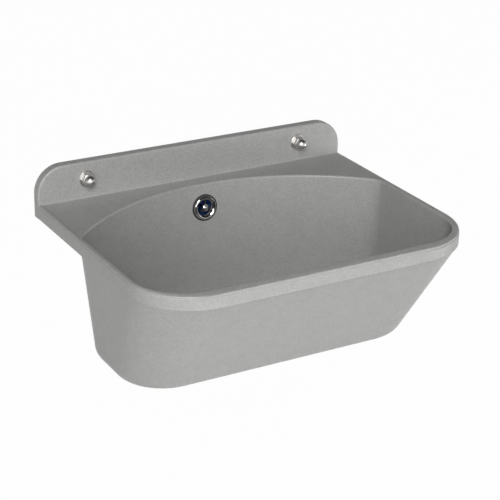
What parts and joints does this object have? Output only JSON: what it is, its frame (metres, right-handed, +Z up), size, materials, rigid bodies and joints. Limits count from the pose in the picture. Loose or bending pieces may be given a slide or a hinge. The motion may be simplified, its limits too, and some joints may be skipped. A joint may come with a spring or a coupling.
{
  "type": "wall-mounted sink",
  "caption": "Wall-mounted sink: deep tapered bowl under a rounded rim, splashback with wall fixings, overflow pipe, waste and lift-out drain plug.",
  "frame": {"origin": "on the wall plane, midway between the two wall fixings", "axes": "+X to the right seen from the room, +Y into the wall, +Z up"},
  "size_m": [0.5, 0.43, 0.2902],
  "materials": {
    "granite_plastic": "fine speckled grey, satin",
    "chrome": "polished chrome plating",
    "zinc_steel": "zinc-plated steel",
    "stainless": "brushed stainless sheet",
    "black_rubber": "matt black rubber",
    "navy_plastic": "dark blue moulded plastic",
    "white_plastic": "white moulded polypropylene",
    "nylon": "natural nylon",
    "brass": "turned brass"
  },
  "bodies": {
    "sink": {"basin": "granite_plastic", "hanger_bolt_left": "zinc_steel", "hanger_bolt_right": "zinc_steel", "fixing_sleeve_left": "nylon", "fixing_sleeve_right": "nylon", "fixing_washer_left": "chrome", "fixing_washer_right": "chrome", "cap_nut_left": "chrome", "cap_nut_right": "chrome", "overflow_front_seal": "black_rubber", "overflow_rosette": "chrome", "overflow_screw": "chrome", "overflow_rear_seal": "black_rubber", "overflow_elbow": "navy_plastic", "overflow_pipe": "white_plastic", "cone_seal_upper": "black_rubber", "cone_seal_lower": "black_rubber", "union_nut_upper": "white_plastic", "union_nut_lower": "white_plastic", "waste_upper_seal": "black_rubber", "waste_flange": "stainless", "waste_screw": "stainless", "waste_lower_seal": "black_rubber", "waste_body": "white_plastic", "waste_insert": "brass"},
    "plug": {"drain_plug": "black_rubber"}
  },
  "joints": [
    {"name": "plug_lift", "type": "slide", "parent": "sink", "child": "plug", "axis": [0, 0, 1], "range_m": [0, 0.26]}
  ]
}
